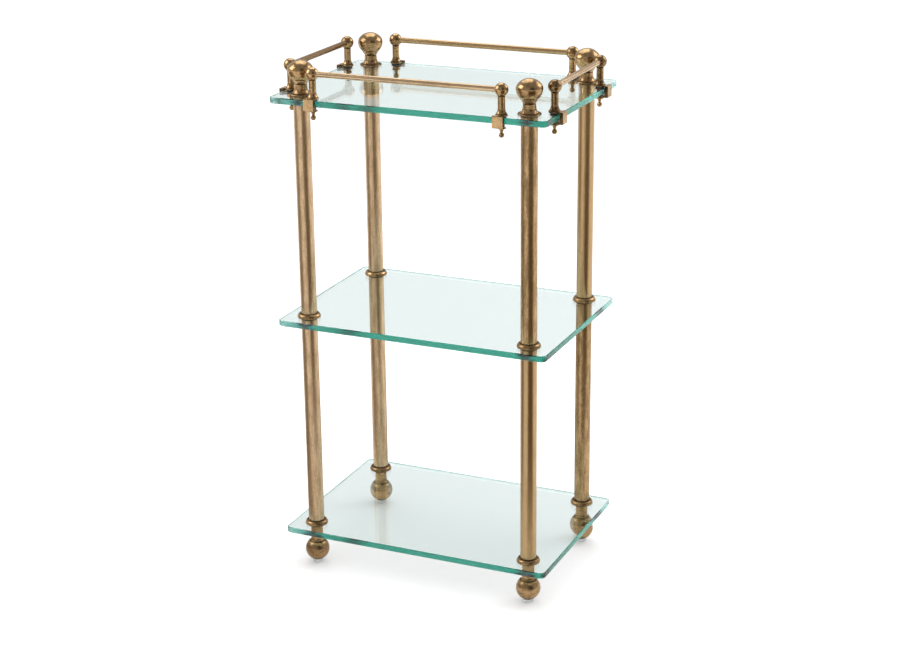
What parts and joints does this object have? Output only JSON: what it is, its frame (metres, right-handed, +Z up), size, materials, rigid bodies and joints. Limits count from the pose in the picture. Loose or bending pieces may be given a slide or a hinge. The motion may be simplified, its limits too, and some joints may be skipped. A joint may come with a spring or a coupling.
{
  "type": "free-standing bathroom shelf",
  "caption": "Free-standing bathroom shelf: clear glass tiers strung on antique brass posts with ball feet and finials, and a brass gallery rail clamped round the top with thumbscrews.",
  "frame": {"origin": "on the floor, under the middle of the shelf", "axes": "+X to the viewer's right along the long side, +Y to the back, +Z up"},
  "size_m": [0.392, 0.272, 0.7032],
  "materials": {
    "antique_brass": "antiqued, satin polished",
    "shelf_glass": "clear float glass, edges polished",
    "clear_plastic": "clear, smooth",
    "pad_rubber": "matt",
    "rod_steel": "zinc-plated rod"
  },
  "bodies": {
    "stand": {"back_rail": "antique_brass", "baluster_back_left": "antique_brass", "baluster_back_right": "antique_brass", "baluster_front_left": "antique_brass", "baluster_front_right": "antique_brass", "baluster_left_back": "antique_brass", "baluster_left_front": "antique_brass", "baluster_right_back": "antique_brass", "baluster_right_front": "antique_brass", "bottom_shelf": "shelf_glass", "clamp_bracket_back_left": "antique_brass", "clamp_bracket_back_right": "antique_brass", "clamp_bracket_front_left": "antique_brass", "clamp_bracket_front_right": "antique_brass", "clamp_bracket_left_back": "antique_brass", "clamp_bracket_left_front": "antique_brass", "clamp_bracket_right_back": "antique_brass", "clamp_bracket_right_front": "antique_brass", "clamp_cushions": "clear_plastic", "collar_rings": "antique_brass", "finial_back_left": "antique_brass", "finial_back_right": "antique_brass", "finial_front_left": "antique_brass", "finial_front_right": "antique_brass", "foot_back_left": "antique_brass", "foot_back_right": "antique_brass", "foot_front_left": "antique_brass", "foot_front_right": "antique_brass", "front_rail": "antique_brass", "glass_bushes": "clear_plastic", "glides": "clear_plastic", "left_rail": "antique_brass", "lower_tube_back_left": "antique_brass", "lower_tube_back_right": "antique_brass", "lower_tube_front_left": "antique_brass", "lower_tube_front_right": "antique_brass", "middle_shelf": "shelf_glass", "right_rail": "antique_brass", "tie_rods": "rod_steel", "top_shelf": "shelf_glass", "upper_tube_back_left": "antique_brass", "upper_tube_back_right": "antique_brass", "upper_tube_front_left": "antique_brass", "upper_tube_front_right": "antique_brass"},
    "pad_front_left": {"pressure_pad_front_left": "pad_rubber"},
    "screw_front_left": {"thumbscrew_front_left": "antique_brass"},
    "pad_front_right": {"pressure_pad_front_right": "pad_rubber"},
    "screw_front_right": {"thumbscrew_front_right": "antique_brass"},
    "pad_back_left": {"pressure_pad_back_left": "pad_rubber"},
    "screw_back_left": {"thumbscrew_back_left": "antique_brass"},
    "pad_back_right": {"pressure_pad_back_right": "pad_rubber"},
    "screw_back_right": {"thumbscrew_back_right": "antique_brass"},
    "pad_left_front": {"pressure_pad_left_front": "pad_rubber"},
    "screw_left_front": {"thumbscrew_left_front": "antique_brass"},
    "pad_left_back": {"pressure_pad_left_back": "pad_rubber"},
    "screw_left_back": {"thumbscrew_left_back": "antique_brass"},
    "pad_right_front": {"pressure_pad_right_front": "pad_rubber"},
    "screw_right_front": {"thumbscrew_right_front": "antique_brass"},
    "pad_right_back": {"pressure_pad_right_back": "pad_rubber"},
    "screw_right_back": {"thumbscrew_right_back": "antique_brass"}
  },
  "joints": [
    {"name": "pad_front_left_drop", "type": "slide", "parent": "stand", "child": "pad_front_left", "axis": [0, 0, -1], "range_m": [0, 0.0012]},
    {"name": "screw_front_left_turn", "type": "hinge", "parent": "pad_front_left", "child": "screw_front_left", "pos_m": [-0.129, -0.1222, 0.64898], "axis": [0, 0, -1], "range_deg": [0, 617.2]},
    {"name": "pad_front_right_drop", "type": "slide", "parent": "stand", "child": "pad_front_right", "axis": [0, 0, -1], "range_m": [0, 0.0012]},
    {"name": "screw_front_right_turn", "type": "hinge", "parent": "pad_front_right", "child": "screw_front_right", "pos_m": [0.129, -0.1222, 0.64898], "axis": [0, 0, -1], "range_deg": [0, 617.2]},
    {"name": "pad_back_left_drop", "type": "slide", "parent": "stand", "child": "pad_back_left", "axis": [0, 0, -1], "range_m": [0, 0.0012]},
    {"name": "screw_back_left_turn", "type": "hinge", "parent": "pad_back_left", "child": "screw_back_left", "pos_m": [-0.129, 0.1222, 0.64898], "axis": [0, 0, -1], "range_deg": [0, 617.2]},
    {"name": "pad_back_right_drop", "type": "slide", "parent": "stand", "child": "pad_back_right", "axis": [0, 0, -1], "range_m": [0, 0.0012]},
    {"name": "screw_back_right_turn", "type": "hinge", "parent": "pad_back_right", "child": "screw_back_right", "pos_m": [0.129, 0.1222, 0.64898], "axis": [0, 0, -1], "range_deg": [0, 617.2]},
    {"name": "pad_left_front_drop", "type": "slide", "parent": "stand", "child": "pad_left_front", "axis": [0, 0, -1], "range_m": [0, 0.0012]},
    {"name": "screw_left_front_turn", "type": "hinge", "parent": "pad_left_front", "child": "screw_left_front", "pos_m": [-0.1822, -0.081, 0.64898], "axis": [0, 0, -1], "range_deg": [0, 617.2]},
    {"name": "pad_left_back_drop", "type": "slide", "parent": "stand", "child": "pad_left_back", "axis": [0, 0, -1], "range_m": [0, 0.0012]},
    {"name": "screw_left_back_turn", "type": "hinge", "parent": "pad_left_back", "child": "screw_left_back", "pos_m": [-0.1822, 0.081, 0.64898], "axis": [0, 0, -1], "range_deg": [0, 617.2]},
    {"name": "pad_right_front_drop", "type": "slide", "parent": "stand", "child": "pad_right_front", "axis": [0, 0, -1], "range_m": [0, 0.0012]},
    {"name": "screw_right_front_turn", "type": "hinge", "parent": "pad_right_front", "child": "screw_right_front", "pos_m": [0.1822, -0.081, 0.64898], "axis": [0, 0, -1], "range_deg": [0, 617.2]},
    {"name": "pad_right_back_drop", "type": "slide", "parent": "stand", "child": "pad_right_back", "axis": [0, 0, -1], "range_m": [0, 0.0012]},
    {"name": "screw_right_back_turn", "type": "hinge", "parent": "pad_right_back", "child": "screw_right_back", "pos_m": [0.1822, 0.081, 0.64898], "axis": [0, 0, -1], "range_deg": [0, 617.2]}
  ],
  "couplings": [
    {"joint": "screw_front_left_turn", "follows": "pad_front_left_drop", "rad_per_m": 8976},
    {"joint": "screw_front_right_turn", "follows": "pad_front_right_drop", "rad_per_m": 8976},
    {"joint": "screw_back_left_turn", "follows": "pad_back_left_drop", "rad_per_m": 8976},
    {"joint": "screw_back_right_turn", "follows": "pad_back_right_drop", "rad_per_m": 8976},
    {"joint": "screw_left_front_turn", "follows": "pad_left_front_drop", "rad_per_m": 8976},
    {"joint": "screw_left_back_turn", "follows": "pad_left_back_drop", "rad_per_m": 8976},
    {"joint": "screw_right_front_turn", "follows": "pad_right_front_drop", "rad_per_m": 8976},
    {"joint": "screw_right_back_turn", "follows": "pad_right_back_drop", "rad_per_m": 8976}
  ]
}
